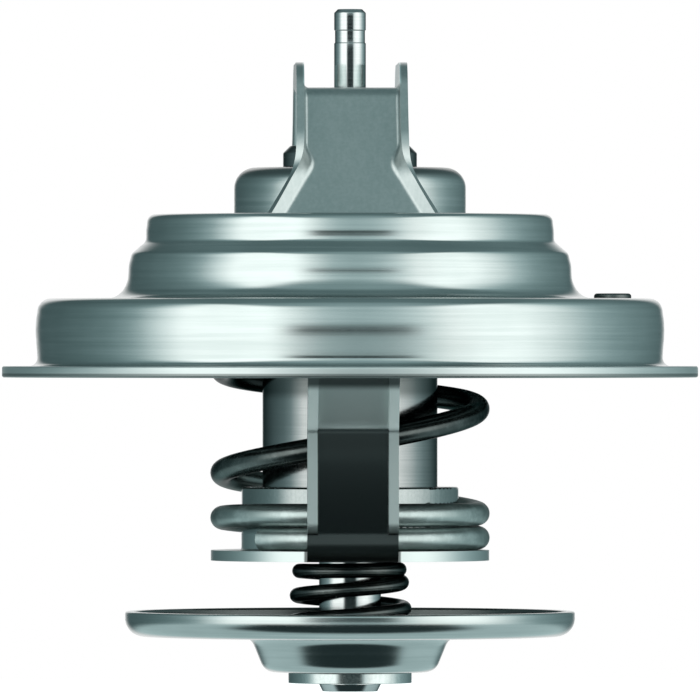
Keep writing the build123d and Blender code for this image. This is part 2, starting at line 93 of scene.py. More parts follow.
# Sizes of the pieces, in millimetres, with angles in radians
PISTON_DIA = 3.05
PISTON_TOP = 35.46
PISTON_TIP = -5.54
PISTON_TIP_DIA = 2.2
PISTON_TAPER = 3.0
PISTON_TAPER_BEND = 0.5
PISTON_CHAMFER = 0.35
PISTON_RING_TOP = 33.46
PISTON_RING_WIDTH = 1.3
PISTON_RING_DEPTH = 0.08

SEAT_SHEET = 1.1
SEAT_EDGE = 0.22
FLANGE_RADIUS = 33.5
SKIRT_RADIUS = 30.1
SKIRT_HEIGHT = 7.6
STEP_ROOT_RADIUS = 21.75
STEP_RADIUS = 21.05
STEP_HEIGHT = 11.9
CROWN_RADIUS = 19.7
CROWN_NECK_HEIGHT = 13.05
CROWN_HEIGHT = 15.7
PORT_RADIUS = 14.0
SKIRT_BEND = 1.3
SKIRT_BEND_ROOT = 0.8
STEP_BEND_ROOT = 2.0
CROWN_BEND = 0.75
CROWN_BEND_ROOT = 0.6
SKIRT_BARREL = 0.16
BARREL_POWER = 1.4
CROWN_DRAFT = 0.24

# Ripples of the drawn wall: level, width and depth
STEP_RIPPLE = (10.2, 2.6, 0.06)
CROWN_RIPPLE = (13.75, 1.7, 0.03)

VENT_REACH = 25.3
VENT_HEAD_RADIUS = 1.8
VENT_BODY_RADIUS = 1.5
VENT_MOUTH_RADIUS = 0.6
VENT_CHAMBER_RADIUS = 1.07
VENT_TOP = 8.1
VENT_FOOT = 4.9
VENT_LIP = 0.4
VENT_HEAD_ROUND = 0.3
VENT_FOOT_ROUND = 0.4
SHOULDER_UNDER = 6.5

VALVE_SHEET = 1.0
VALVE_SHEET_EDGE = 0.2
VALVE_RADIUS = 16.8
VALVE_HUB_RADIUS = 11.15
VALVE_HOLE_RADIUS = 5.02
VALVE_EDGE = 2.2
BRIM_TOP = 13.7
HUB_TOP = 20.2
HUB_UNDER = 19.2
VALVE_EDGE_BEND = 1.3
VALVE_ROOT_BEND = 0.6
VALVE_HUB_BEND = 2.0

BRIDGE_SHEET = 0.75
BRIDGE_EASE = 0.26
BRIDGE_HALF_WIDTH = 5.3
BRIDGE_TOP = 27.8
BRIDGE_FOOT = 15.8
BRIDGE_LEAN = 7.3
BRIDGE_BEND = 2.0
BRIDGE_LIP = 2.4
BRIDGE_LIP_FOOT = 0.8
BRIDGE_FLARE_TOP = 20.9
BRIDGE_FLARE_SLOPE = 0.615
BRIDGE_FLARE_DROP = 0.6
BRIDGE_FLARE_SOFTNESS = 0.64
BRIDGE_LIP_ROOT = 0.45
BRIDGE_LIP_ROOT_FOOT = 1.2
BRIDGE_LIP_LEAN = radians(60)
BRIDGE_OPEN_LOW = 18.6
BRIDGE_OPEN_HIGH = 22.4
LEAST_LEAN = 0.1

SEAL_SHEET = 0.83
SEAL_PROUD = 0.85
SEAL_WIDTH = 2.6
SEAL_EDGE = 0.3

CASE_RADIUS = 8.425
CASE_BOTTOM = -17.7
CASE_WALL = 1.5
CASE_RIM_WALL = 0.9
CASE_FLOOR = 3.2
CASE_CORNER = 1.0
CASE_FLOOR_BEND = 0.4
CASE_RIM_ROUND = 0.45
SPIGOT_CLEARANCE = 0.02
CRIMP_REACH = 1.6
CRIMP_UNDER = 18.3
CASE_LEDGE = 14.5
GUIDE_TOP = 22.3
GUIDE_BOTTOM = 15.3
GUIDE_HEAD_RADIUS = 6.45
GUIDE_HEAD_BEVEL = 0.7
GUIDE_HEAD_ROUND = 0.25
GUIDE_NECK_RADIUS = 5.0
GUIDE_BORE_RADIUS = 1.575
GUIDE_BASE_RADIUS = 7.505
GUIDE_STEP_RADIUS = 5.885
WIPER_POCKET_RADIUS = 2.82
WIPER_POCKET_FLOOR = 21.1
BACKING_POCKET_RADIUS = 3.02
BACKING_POCKET_TOP = 15.92

ROD_RADIUS = 2.98
ROD_END = -30.2
ROD_END_BEVEL = 0.34
ROD_SPIGOT_RADIUS = 2.0
ROD_SPIGOT_TOP = -15.3
CLIP_GROOVE_RADIUS = 2.3
CLIP_GROOVE_TOP = -28.38
CLIP_GROOVE_BOTTOM = -29.42

DISC_SHEET = 1.0
DISC_EDGE = 0.25
DISC_RADIUS = 21.65
DISC_UNDER = -24.9
DISC_RIM = 2.4
DISC_RIM_BEND = 1.75
DISC_HOLE_RADIUS = 3.03
BOSS_RADIUS = 8.2
BOSS_FLARE = 1.4
BOSS_UNDER = -28.35
BOSS_BEND = 1.4
DISC_ROOT_BEND = 1.5

# Bevels of the copied solids, and the places of the lips' outer edges on the legs
CLIP_EASE = 0.12
FRAME_EASE = 0.4
FAINT_WEIGHT = 0.33
LIP_EDGE_ACROSS = 3.2
LIP_EDGE_OUT = 15.2
LIP_EDGE_TOP = 3.0
LIP_EDGE_FOOT = -15.2

# Strokes and springs: wire, heights, radii and lean in millimetres, and the start in degrees. The runs are
# counts of arcs with the rise of each arc, or none where the run fills the height that is left.
VALVE_STROKE = 8.0
COIL_END_EASE = 0.12
MAIN_SPRING = {
    "wire": 2.25, "sides": 28, "bottom": -16.58, "top": 12.68,
    "start": -135.0, "foot": 12.325, "head": 12.325, "lean": 0.7,
    "runs": ((3, 0.0), (3, 0.575), (3, 0.0), (17, None), (6, 0.2875)),
}
BYPASS_SPRING = {
    "wire": 1.4, "sides": 24, "bottom": -27.33, "top": -17.72,
    "start": 0.0, "foot": 5.7, "head": 4.7, "lean": 0.0,
    "runs": ((4, 0.18125), (22, None), (6, 0.03)),
}

# Camera: level with the flange, a little to the left of the axis, far enough to flatten the view
CAMERA_DISTANCE = 1.4
CAMERA_TURN = radians(-1.1)
CAMERA_HEIGHT = 0.00265
FRAME_WIDTH = 0.0674
SENSOR_WIDTH = 36.0
CLIP_NEAR = 0.05
CLIP_FAR = 20.0


def rounded_loop(corners, radii):
    """Closed line whose corners are arcs: an arc starts its radius over the tangent of half the corner's
    angle before the corner, and runs along the directions from its centre in between."""
    corners = np.asarray(corners, float)
    runs = []
    neighbours = zip(corners, np.roll(corners, 1, 0), np.roll(corners, -1, 0), radii)
    for corner, before, after, radius in neighbours:
        back = (before - corner) / np.linalg.norm(before - corner)
        on = (after - corner) / np.linalg.norm(after - corner)
        half = np.arccos(np.clip(back @ on, -1, 1)) / 2
        turn = pi - 2 * half
        if radius <= 0 or turn < STRAIGHT_ANGLE:
            runs.append(corner[None])
            continue
        middle = corner + (back + on) / np.linalg.norm(back + on) * radius / sin(half)
        first = corner + back * radius / np.tan(half) - middle
        last = corner + on * radius / np.tan(half) - middle
        share = np.linspace(0, 1, max(LEAST_ARC_POINTS, ceil(turn / ARC_STEP) + 1))[:, None]
        arc = (np.sin((1 - share) * turn) * first + np.sin(share * turn) * last) / sin(turn)
        runs.append(middle + arc)
    return np.vstack(runs)


def spaced(loop, longest=LONGEST_RUN):
    """The same closed line with its long runs divided evenly, so that no run is over the longest."""
    runs = []
    for start, end in zip(loop, np.roll(loop, -1, 0)):
        count = max(1, ceil(np.linalg.norm(end - start) / longest))
        runs.append(start + (end - start) * (np.arange(count) / count)[:, None])
    return np.vstack(runs)


def sheet_loop(points, bends, thickness, edge, longest=LONGEST_RUN):
    """Section of a bent sheet: one face's line, and back along the line its thickness to the left, where
    a left bend is tighter by the thickness and a right bend wider. Both ends have eased edges."""
    points = np.asarray(points, float)
    runs = np.diff(points, axis=0)
    runs /= np.linalg.norm(runs, axis=1)[:, None]
    left = np.stack([-runs[:, 1], runs[:, 0]], 1)
    corner = (left[:-1] + left[1:]) / (1 + np.sum(left[:-1] * left[1:], axis=1))[:, None]
    offsets = np.vstack([left[:1], corner, left[-1:]])
    turns = np.sign(runs[:-1, 0] * runs[1:, 1] - runs[:-1, 1] * runs[1:, 0])
    far_bends = np.asarray(bends) - turns * thickness
    corners = np.vstack([points, (points + offsets * thickness)[::-1]])
    radii = [edge, *bends, edge, edge, *far_bends[::-1], edge]
    return spaced(rounded_loop(corners, radii), longest)


def turned_loop(rows):
    """Section of a turned solid from rows of radius, height and corner radius."""
    rows = np.asarray(rows, float)
    return spaced(rounded_loop(rows[:, :2], rows[:, 2]))


def barrel(loop, low, high, inner, swell):
    """Swells a straight wall outwards by half a sine wave of a power of its height, so that the fullest
    place is a little above the middle."""
    share = np.clip((loop[:, 1] - low) / (high - low), 0, 1)
    out = np.where(loop[:, 0] > inner, swell * np.sin(pi * share ** BARREL_POWER), 0)
    return loop + np.stack([out, np.zeros_like(out)], 1)


def ripple(loop, level, width, depth):
    """Sways a wall in and out by one sine wave about a level, as drawing leaves it."""
    share = np.clip((loop[:, 1] - level) / width, -0.5, 0.5)
    return loop + np.stack([depth * np.sin(2 * pi * share), np.zeros_like(share)], 1)


def grid_faces(rows, columns, close_columns):
    """Four corners of each cell of a grid whose rows close up, and whose columns may."""
    row = np.arange(rows)[:, None]
    column = np.arange(columns if close_columns else columns - 1)[None]
    next_row, next_column = (row + 1) % rows, (column + 1) % columns
    cell = [row * columns + column, next_row * columns + column,
            next_row * columns + next_column, row * columns + next_column]
    return np.stack([np.broadcast_to(c, np.broadcast(row, column).shape) for c in cell], -1).reshape(-1, 4)


def mesh_of(name, points, faces):
    """Mesh in metres from points in millimetres, its doubles merged, smooth but for its sharp edges."""
    mesh = bpy.data.meshes.new(name)
    mesh.from_pydata((np.asarray(points) * MM).tolist(), [], faces.tolist())
    tidy = bmesh.new()
    tidy.from_mesh(mesh)
    bmesh.ops.remove_doubles(tidy, verts=tidy.verts, dist=MERGE_DISTANCE)
    tidy.to_mesh(mesh)
    tidy.free()
    mesh.shade_smooth()
    mesh.set_sharp_from_angle(angle=SHARP_ANGLE)
    return mesh


def turned_mesh(name, loop, reach=0.0):
    """A section of radius and height carried round an upright axis at a reach along X: a point's place is
    its radius times the cosine and the sine of the turn, and its height."""
    area = np.sum(loop[:, 0] * np.roll(loop[:, 1], -1) - np.roll(loop[:, 0], -1) * loop[:, 1])
    loop = loop if area > 0 else loop[::-1]
    steps = STEPS_ROUND[name]
    turn = np.linspace(0, 2 * pi, steps, endpoint=False)[:, None]
    height = np.broadcast_to(loop[:, 1], (steps, len(loop)))
    grid = np.stack([reach + loop[:, 0] * np.cos(turn), loop[:, 0] * np.sin(turn), height], -1)
    return mesh_of(name, grid.reshape(-1, 3), grid_faces(steps, len(loop), True))


def coil_rises(spring):
    """Rise of each arc of a coil: a run's rise, or what fills the height where it has none, and the mean of
    two runs on the arc between them."""

    def rises_with(open_rise):
        steps = [open_rise if rise is None else rise for _, rise in spring["runs"]]
        rises = [steps[0]] * spring["runs"][0][0]
        for (arcs, _), last, step in zip(spring["runs"][1:], steps, steps[1:]):
            rises += [(last + step) / 2, *[step] * arcs]
        return rises

    ends = sum(rises_with(0.0))
    height = spring["top"] - spring["bottom"] - spring["wire"]
    return rises_with((height - ends) / (sum(rises_with(1.0)) - ends))


def coil_mesh(name, spring):
    """Round wire carried along a coil. The centre line turns evenly and rises arc by arc, smoothed over one
    arc. Its open turns lean by half a sine wave of their length times the cosine of the turn. A ring of the
    wire lies across that line."""
    wire, sides = spring["wire"], spring["sides"]
    rises = coil_rises(spring)
    levels = np.concatenate([[0], np.cumsum(rises)]) + spring["bottom"] + wire / 2
    count = round(len(rises) / ARCS_PER_TURN * COIL_STEPS_PER_TURN)
    share = np.linspace(0, 1, count + 1)
    turn = radians(spring["start"]) + 2 * pi * len(rises) / ARCS_PER_TURN * share
    radius = spring["foot"] + (spring["head"] - spring["foot"]) * share
    level = np.interp(share * len(rises), np.arange(len(levels)), levels)
    blur = np.ones(COIL_STEPS_PER_TURN // ARCS_PER_TURN + 1)
    padded = np.pad(level, len(blur) // 2, mode="reflect", reflect_type="odd")
    level = np.convolve(padded, blur / blur.sum(), mode="valid")[: count + 1]
    first = sum(arcs + 1 for arcs, _ in spring["runs"][:-2]) - 1
    opened = np.clip((share * len(rises) - first) / (spring["runs"][-2][0] + 2), 0, 1)
    level += spring["lean"] * np.sin(pi * opened) * np.cos(turn)
    line = np.stack([radius * np.cos(turn), radius * np.sin(turn), level], 1)
    along = np.gradient(line, axis=0)
    along /= np.linalg.norm(along, axis=1)[:, None]
    outward = np.stack([np.cos(turn), np.sin(turn), np.zeros_like(turn)], 1)
    outward -= np.sum(outward * along, axis=1)[:, None] * along
    outward /= np.linalg.norm(outward, axis=1)[:, None]
    upward = np.cross(along, outward)

    # The cut ends are flat with an eased rim: the rings grow from nothing to the full wire.
    bore = np.full(count + 1, wire / 2)
    ease = COIL_END_EASE * wire
    line = np.vstack([line[:1], line[:1], line[:1] + along[:1] * ease, line[1:-1],
                      line[-1:] - along[-1:] * ease, line[-1:], line[-1:]])
    bore = np.concatenate([[0, wire / 2 - ease], bore, [wire / 2 - ease, 0]])
    repeat = np.concatenate([[0, 0], np.arange(count + 1), [count, count]])
    angle = np.linspace(0, 2 * pi, sides, endpoint=False)[None, :, None]
    ring = np.cos(angle) * outward[repeat][:, None] + np.sin(angle) * upward[repeat][:, None]
    grid = line[:, None] + ring * bore[:, None, None]
    faces = grid_faces(sides, len(line), False)
    return mesh_of(name, grid.transpose(1, 0, 2).reshape(-1, 3), faces)


def smooth(value, low, high):
    """0 below low and 1 above high, with a smooth step between them."""
    share = np.clip((value - low) / (high - low), 0, 1)
    return share * share * (3 - 2 * share)


def strap_line(length):
    """Middle line of the bridge's outer face, by the length from its foot: a straight slope, an arc of the
    bend's radius and a level run. Gives the distance from the axis, the height and the angle of the run."""
    rise = BRIDGE_TOP - CROWN_HEIGHT
    angle = np.arctan2(rise, BRIDGE_LEAN)
    straight = np.hypot(rise, BRIDGE_LEAN) - BRIDGE_BEND * np.tan(angle / 2)
    slope = np.clip(length, 0, straight)
    turned = np.clip((length - straight) / BRIDGE_BEND, 0, angle)
    level = np.maximum(length - straight - angle * BRIDGE_BEND, 0)
    lean = angle - turned
    reach = BRIDGE_FOOT - np.cos(angle) * slope + BRIDGE_BEND * (np.sin(lean) - np.sin(angle)) - level
    height = CROWN_HEIGHT + np.sin(angle) * slope + BRIDGE_BEND * (np.cos(lean) - np.cos(angle))
    return reach, height, lean


def strap_mesh(name):
    """Channel strap: its section is a flat web, an arc up into each lip and a straight lip, on two faces a
    sheet apart. Towards the feet the web widens, the arcs grow and the lips lean out and get lower. A
    section stands across the middle line, and slides along it near a foot so that the foot is level."""
    longest = np.hypot(BRIDGE_TOP - CROWN_HEIGHT, BRIDGE_LEAN) + BRIDGE_FOOT
    scan = np.linspace(0, longest, STRAP_SCAN)
    middle = scan[np.argmax(strap_line(scan)[0] <= 0)]
    half = middle * np.linspace(0, 1, STRAP_ROWS)
    length = np.concatenate([half, half[-2::-1]])[:, None]
    side = np.concatenate([np.ones(STRAP_ROWS), -np.ones(STRAP_ROWS - 1)])[:, None]
    reach, height, lean = strap_line(length)

    opened = 1 - smooth(height, BRIDGE_OPEN_LOW, BRIDGE_OPEN_HIGH)
    fall = BRIDGE_FLARE_TOP - height - BRIDGE_FLARE_DROP
    eased_fall = fall + np.sqrt(fall * fall + BRIDGE_FLARE_SOFTNESS)
    edge = BRIDGE_HALF_WIDTH + BRIDGE_FLARE_SLOPE * eased_fall / 2
    turn = pi / 2 - BRIDGE_LIP_LEAN * opened
    root = BRIDGE_LIP_ROOT + (BRIDGE_LIP_ROOT_FOOT - BRIDGE_LIP_ROOT) * opened
    tip = BRIDGE_LIP + (BRIDGE_LIP_FOOT - BRIDGE_LIP) * opened
    lip = (tip - root * (1 - np.cos(turn))) / np.sin(turn)
    flat = edge - (root + BRIDGE_SHEET) * np.sin(turn) - lip * np.cos(turn)

    # Shares of the web, the arc and the lip that are behind each column of one half of a face
    on_web = [(share, 0, 0) for share in np.linspace(0, 1, WEB_COLUMNS)]
    on_root = [(1, share, 0) for share in np.linspace(0, 1, ROOT_COLUMNS)[1:]]
    on_lip = [(1, 1, share) for share in np.linspace(0, 1, LIP_COLUMNS)[1:]]
    shares = np.array(on_web + on_root + on_lip).T
    shares = np.concatenate([shares[:, :0:-1], shares], axis=1)
    hand = np.concatenate([-np.ones(shares.shape[1] // 2), np.ones(shares.shape[1] // 2 + 1)])
    web, arc, up = np.concatenate([shares, shares[:, ::-1]], axis=1)
    hand = np.concatenate([hand, hand[::-1]])
    depth = np.repeat([0, BRIDGE_SHEET], shares.shape[1])

    # The first and last rows close the sheet's ends: both faces meet half-way between them.
    ends = [0, *range(len(length)), len(length) - 1]
    depth = np.tile(depth, (len(ends), 1))
    depth[[0, -1]] = BRIDGE_SHEET / 2
    reach, height, lean, side, turn, root, lip, flat = (
        value[ends] for value in (reach, height, lean, side, turn, root, lip, flat)
    )
    across = hand * (flat * web + (root + depth) * np.sin(arc * turn) + lip * up * np.cos(turn))
    proud = root - (root + depth) * np.cos(arc * turn) + lip * up * np.sin(turn)
    near_foot = 1 - smooth(height, CROWN_HEIGHT, BRIDGE_OPEN_HIGH)
    slide = -proud * np.cos(lean) / np.maximum(np.sin(lean), LEAST_LEAN) * near_foot
    out = reach + proud * np.sin(lean) - slide * np.cos(lean)
    grid = np.stack([across, -side * out, height + proud * np.cos(lean) + slide * np.sin(lean)], -1)
    faces = grid_faces(grid.shape[1], len(ends), False)
    return mesh_of(name, grid.transpose(1, 0, 2).reshape(-1, 3), faces)


def eased_copy(name, node):
    """Copy of a pressed solid with its triangles merged and its flats joined, for a bevel to ease."""
    mesh = frame["nodes"][node].data.copy()
    mesh.name = name
    tidy = bmesh.new()
    tidy.from_mesh(mesh)
    bmesh.ops.remove_doubles(tidy, verts=tidy.verts, dist=SOLID_MERGE_DISTANCE)
    bmesh.ops.dissolve_limit(tidy, angle_limit=FLAT_ANGLE, verts=tidy.verts, edges=tidy.edges)
    tidy.to_mesh(mesh)
    tidy.free()
    if "custom_normal" in mesh.attributes:
        mesh.attributes.remove(mesh.attributes["custom_normal"])
    mesh.materials.clear()
    mesh.shade_smooth()
    mesh.set_sharp_from_angle(angle=SHARP_ANGLE)
    return mesh


def weigh_edges(mesh, rounded):
    """Marks the sharp edges for a bevel: in full where the middle of an edge lies in the rounded places,
    and by a faint weight elsewhere."""
    sharp = np.zeros(len(mesh.edges), bool)
    mesh.attributes["sharp_edge"].data.foreach_get("value", sharp)
    points = np.zeros(3 * len(mesh.vertices))
    mesh.vertices.foreach_get("co", points)
    ends = np.zeros(2 * len(mesh.edges), int)
    mesh.edges.foreach_get("vertices", ends)
    middle = points.reshape(-1, 3)[ends.reshape(-1, 2)].mean(1) / MM
    weight = mesh.attributes.new("bevel_weight_edge", "FLOAT", "EDGE")
    full = np.where(rounded(*middle.T), 1.0, FAINT_WEIGHT)
    weight.data.foreach_set("value", np.where(sharp, full, 0.0))
    return mesh


def on_leg_lips(x, y, z):
    """Outer edges of the lips along the lower frame's legs."""
    beside = (np.abs(x) > LIP_EDGE_ACROSS) & (np.abs(y) > LIP_EDGE_OUT)
    return beside & (z < LIP_EDGE_TOP) & (z > LIP_EDGE_FOOT)


class Value:
    """A socket in a node tree. Arithmetic on it adds Math nodes."""

    def __init__(self, nodes, socket):
        self.nodes, self.socket = nodes, socket

    def __add__(self, other):
        return self.nodes.math("ADD", self, other)

    def __sub__(self, other):
        return self.nodes.math("SUBTRACT", self, other)

    def __rsub__(self, other):
        return self.nodes.math("SUBTRACT", other, self)

    def __mul__(self, other):
        return self.nodes.math("MULTIPLY", self, other)

    def __truediv__(self, other):
        return self.nodes.math("DIVIDE", self, other)

    def __pow__(self, other):
        return self.nodes.math("POWER", self, other)

    def __abs__(self):
        return self.nodes.math("ABSOLUTE", self)

    __radd__ = __add__


class Nodes:
    """The node tree of a finish, of the floor or of the studio."""

    def __init__(self, owner):
        owner.use_nodes = True
        self.tree = owner.node_tree
        self.tree.nodes.clear()

    def node(self, kind, settings=None, inputs=None, output=0):
        """Adds a node with its settings and inputs, and gives one of its outputs."""
        made = self.tree.nodes.new("ShaderNode" + kind)
        for name, value in (settings or {}).items():
            if name == "stops":
                self.set_stops(made.color_ramp.elements, value)
            else:
                setattr(made, name, value)
        for name, value in (inputs or {}).items():
            self.feed(made.inputs[name], value)
        return Value(self, made.outputs[output])

    def feed(self, socket, value):
        """Links a socket to a value of the tree, or sets it to a constant."""
        if isinstance(value, Value):
            self.tree.links.new(value.socket, socket)
        else:
            socket.default_value = value

    @staticmethod
    def set_stops(elements, stops):
        """Puts stops of place and colour on a new colour ramp, which has two."""
        elements.remove(elements[1])
        elements[0].position, elements[0].color = stops[0]
        for place, colour in stops[1:]:
            elements.new(place).color = colour

    def math(self, operation, *values):
        return self.node("Math", {"operation": operation}, dict(enumerate(values)))

    def mix(self, share, low, high):
        """Mix of two colours. The Mix node has its colours on inputs 6 and 7 and gives them on output 2."""
        return self.node("Mix", {"data_type": "RGBA"}, {0: share, 6: low, 7: high}, 2)

    def ease(self, value, low, high):
        """0 below low and 1 above high, with a smooth step between them."""
        return self.node("MapRange", {"interpolation_type": "SMOOTHSTEP"}, {0: value, 1: low, 2: high})

    def vector(self, x, y, z):
        return self.node("CombineXYZ", None, {0: x, 1: y, 2: z})

    def parts(self, vector):
        """The X, Y and Z of a vector."""
        split = self.node("SeparateXYZ", None, {0: vector})
        outputs = split.socket.node.outputs
        return [Value(self, outputs[i]) for i in range(3)]


class Finish(Nodes):
    """A procedural finish on Object coordinates, with one Principled shader."""

    def __init__(self, name, metallic, **constants):
        self.material = bpy.data.materials.new(name)
        super().__init__(self.material)
        self.shader = self.tree.nodes.new("ShaderNodeBsdfPrincipled")
        end = self.tree.nodes.new("ShaderNodeOutputMaterial")
        self.tree.links.new(self.shader.outputs[0], end.inputs[0])
        self.shader.inputs["Metallic"].default_value = metallic
        for socket, value in constants.items():
            self.shader.inputs[socket].default_value = value
        self.spot = self.node("TexCoord", None, None, "Object")
        self.x, self.y, self.z = self.parts(self.spot)

    def noise(self, scale, detail=3.0, stretch=None, fourth=None):
        """Smooth noise about one half. A stretch squeezes it along X, Y and Z, and a fourth value shifts
        it."""
        place = self.spot
        if stretch:
            place = self.vector(self.x * stretch[0], self.y * stretch[1], self.z * stretch[2])
        inputs = {"Vector": place, "Scale": scale, "Detail": detail}
        if fourth is not None:
            inputs["W"] = fourth
        return self.node("TexNoise", {"noise_dimensions": "3D" if fourth is None else "4D"}, inputs)

    def set(self, socket, value):
        """Feeds an input of the finish's shader."""
        self.feed(self.shader.inputs[socket], value)

    def fade(self, value, limits):
        """0 below the first limit and 1 above the second, with a smooth step between them. The limits are
        in millimetres."""
        return self.ease(value, limits[0] * MM, limits[1] * MM)

    def relief(self, height, depth, strength):
        """Fine relief of a depth in metres."""
        inputs = {"Strength": strength, "Distance": depth, "Height": height}
        self.set("Normal", self.node("Bump", None, inputs))


# Where a finish changes: from the first place to the second, in millimetres
RIM_DARK_START = (20.1, 20.2)
RIM_DARK_END = (20.8, 20.9)
RIM_DARK_RISE = (DISC_UNDER + 0.8, DISC_UNDER + 1.2)
HUB_SHADE_RISE = (HUB_TOP - 1.3, HUB_TOP - 0.4)
SHEARED_RIM = (FLANGE_RADIUS - 0.2, FLANGE_RADIUS - 0.1)
SHEARED_SHADE = (0.32, 0.48)
LEG_OUT = (13.9, 14.3)
LEG_EDGE = (3.3, 3.45)
LEG_BESIDE = (4.5, 4.7)
LEG_UPPER = (-15.1, -14.7)
LEG_SLOPE = (-5.2, -4.7)
LEG_KNEE = (-8.5, -6.2)
LEG_FOOT = (12.0, 12.5)
LEG_SHADE = (-1.3, -0.5)
LIP_INNER = (4.6, 4.75)
LIP_RISE = (BRIDGE_TOP + 0.1, BRIDGE_TOP + 0.5)
FLANGE_SHADE_START = (-2.4, -1.2)
FLANGE_SHADE_END = (14.0, 15.0)
COIL_SHADE_RISE = (-13.0, -7.0)
COIL_UNDER_PLATE = (-17.6, -17.2)
COIL_FLANGE_SHADE = (-3.0, -1.4)

# Drawn sheet: stretch of its noise along and across its lines, and the greatest share of the hub's painted
# shade
DRAWN_ALONG = 45.0
DRAWN_ACROSS = 2400.0
HUB_SHADE_SHARE = 0.8

# A dark specular tint dims the reflections along the outlines of ground pieces and wire: painted shade at
# their outlines
DARK_EDGES = {"Specular Tint": (0.3, 0.33, 0.33, 1.0)}


# Finishes. The scales of their noises and the noises' shares in tone and gloss are given.


def grey(level, cool=0.06):
    """A cool grey: red is under green by the cool share, and blue by a fifth of it."""
    return (level * (1 - cool), level, level * (1 - cool * 0.2), 1.0)


def rim_darkening(made):
    """Share of the darker band on the bypass pan: inside its turned-up rim."""
    inside = made.fade(made.reach, RIM_DARK_START) * (1.0 - made.fade(made.reach, RIM_DARK_END))
    return inside * made.fade(made.z, RIM_DARK_RISE)


def hub_painted_shade(made):
    """Share of the painted shade on the valve: round the top of its hub, under the bridge, and not quite
    full.
    """
    return made.fade(made.z, HUB_SHADE_RISE) * HUB_SHADE_SHARE


def drawn_finish(name, level, roughness, contrast=0.10, sheared=False, darkening=None):
    """Drawn sheet: fine lines that run round the axis, over slow clouds of the rolled surface. A sheared
    rim is lighter and rougher, and darker along its lower part: painted shade under the rim. Where a
    darkening share is given, the sheet is darker there."""
    made = Finish(name, 1.0)
    made.reach = (made.x * made.x + made.y * made.y) ** 0.5
    stretch = (DRAWN_ALONG, DRAWN_ALONG, DRAWN_ACROSS)
    line = made.noise(scale=1.0, detail=4.0, stretch=stretch, fourth=made.reach * DRAWN_ACROSS)
    cloud = made.noise(scale=120.0)
    tone = made.ease(line * 0.65 + cloud * 0.35, 0.33, 0.67)
    colour = made.mix(tone, grey(level * (1 - contrast), 0.09), grey(level * (1 + contrast)))
    gloss = roughness + (line - 0.5) * 0.16 + (cloud - 0.5) * 0.14
    if sheared:
        cut = made.fade(made.reach, SHEARED_RIM)
        # Painted shade: the lower part of the flange's rim is darker
        rim_foot_shade = 1.0 - made.fade(made.z, SHEARED_SHADE)
        cut_colour = made.mix(rim_foot_shade, grey(level * 1.3), grey(level * 0.55, 0.08))
        colour = made.mix(cut, colour, cut_colour)
        gloss = gloss + cut * (0.42 - roughness)
    if darkening:
        # Darker where a share is given: painted shade round the valve hub's top, and a darker band inside
        # the pan's rim
        colour = made.mix(darkening(made), colour, grey(level * 0.22, 0.1))
    made.set("Base Color", colour)
    made.set("Roughness", gloss)
    made.relief(line, depth=0.00001, strength=0.35)
    return made.material


class Mark(NamedTuple):
    """A mark on a pressed sheet: its share of a place, its tone against the sheet's, its roughness and how
    metallic it is."""

    share: Value
    tone: float
    roughness: float
    metallic: float = 1.0


def leg_marks_and_painted_light(made):
    """Marks on the lower frame: lighter lips along the legs; slopes and their lips much lighter and less
    metallic, painted light; a darker, glossier web between the lips; the plate's cut rim; and painted
    shade in the knees, in the bends at the foot and under the flange."""
    wide, far = abs(made.x), abs(made.y)
    leg = made.fade(far, LEG_OUT)
    edge = made.fade(wide, LEG_EDGE)
    beside = made.fade(wide, LEG_BESIDE)
    upper = made.fade(made.z, LEG_UPPER)
    slope = made.fade(made.z, LEG_SLOPE)
    web = (1.0 - edge) * (1.0 - slope)
    knee = web * made.fade(made.z, LEG_KNEE)
    foot = (1.0 - upper) * (1.0 - beside) * made.fade(far, LEG_FOOT)
    return (
        # Lighter lips along the legs; on the slopes the sheet and its lips are lighter still: painted light
        Mark(leg * made.math("MAXIMUM", edge * upper, slope), tone=1.85, roughness=0.46),
        Mark(leg * slope, tone=2.7, roughness=0.50, metallic=0.8),
        Mark(leg * edge * slope, tone=2.7, roughness=0.50, metallic=0.2),
        Mark(leg * web, tone=0.45, roughness=0.12),
        Mark((1.0 - upper) * beside, tone=1.7, roughness=0.30),
        # Painted shade: darker in the knees, in the bends at the foot and under the flange
        Mark(leg * knee, tone=0.25, roughness=0.20),
        Mark(foot, tone=0.35, roughness=0.30),
        Mark(leg * made.fade(made.z, LEG_SHADE), tone=0.6, roughness=0.46),
    )


def lip_painted_light(made):
    """Mark on the bridge: the inner faces of its lips, beside the piston, lighter: painted light that the
    piston mirrors.
    """
    inner = 1.0 - made.fade(abs(made.x), LIP_INNER)
    # Painted light: lighter inner faces of the lips, seen in the piston
    return (Mark(inner * made.fade(made.z, LIP_RISE), tone=1.95, roughness=0.30),)


def pressed_finish(name, level, roughness, contrast=0.07, marks=None):
    """Pressed sheet: a fine even grain with faint rolling lines up and down, and marks of its own."""
    made = Finish(name, 1.0)
    speck = made.noise(scale=3200.0)
    roll = made.noise(scale=1.0, stretch=(2200.0, 2200.0, 70.0))
    cloud = made.noise(scale=150.0)
    tone = made.ease(speck * 0.4 + roll * 0.3 + cloud * 0.3, 0.34, 0.66)
    colour = made.mix(tone, grey(level * (1 - contrast), 0.09), grey(level * (1 + contrast)))
    gloss = roughness + (speck - 0.5) * 0.06 + (cloud - 0.5) * 0.1
    metallic = 1.0
    for mark in marks(made) if marks else ():
        colour = made.mix(mark.share, colour, grey(level * mark.tone, 0.08))
        gloss = gloss + mark.share * (mark.roughness - gloss)
        metallic = metallic + mark.share * (mark.metallic - metallic)
    made.set("Base Color", colour)
    made.set("Roughness", gloss)
    made.set("Metallic", metallic)
    made.relief(speck * 0.6 + roll * 0.4, depth=0.000003, strength=0.4)
    return made.material


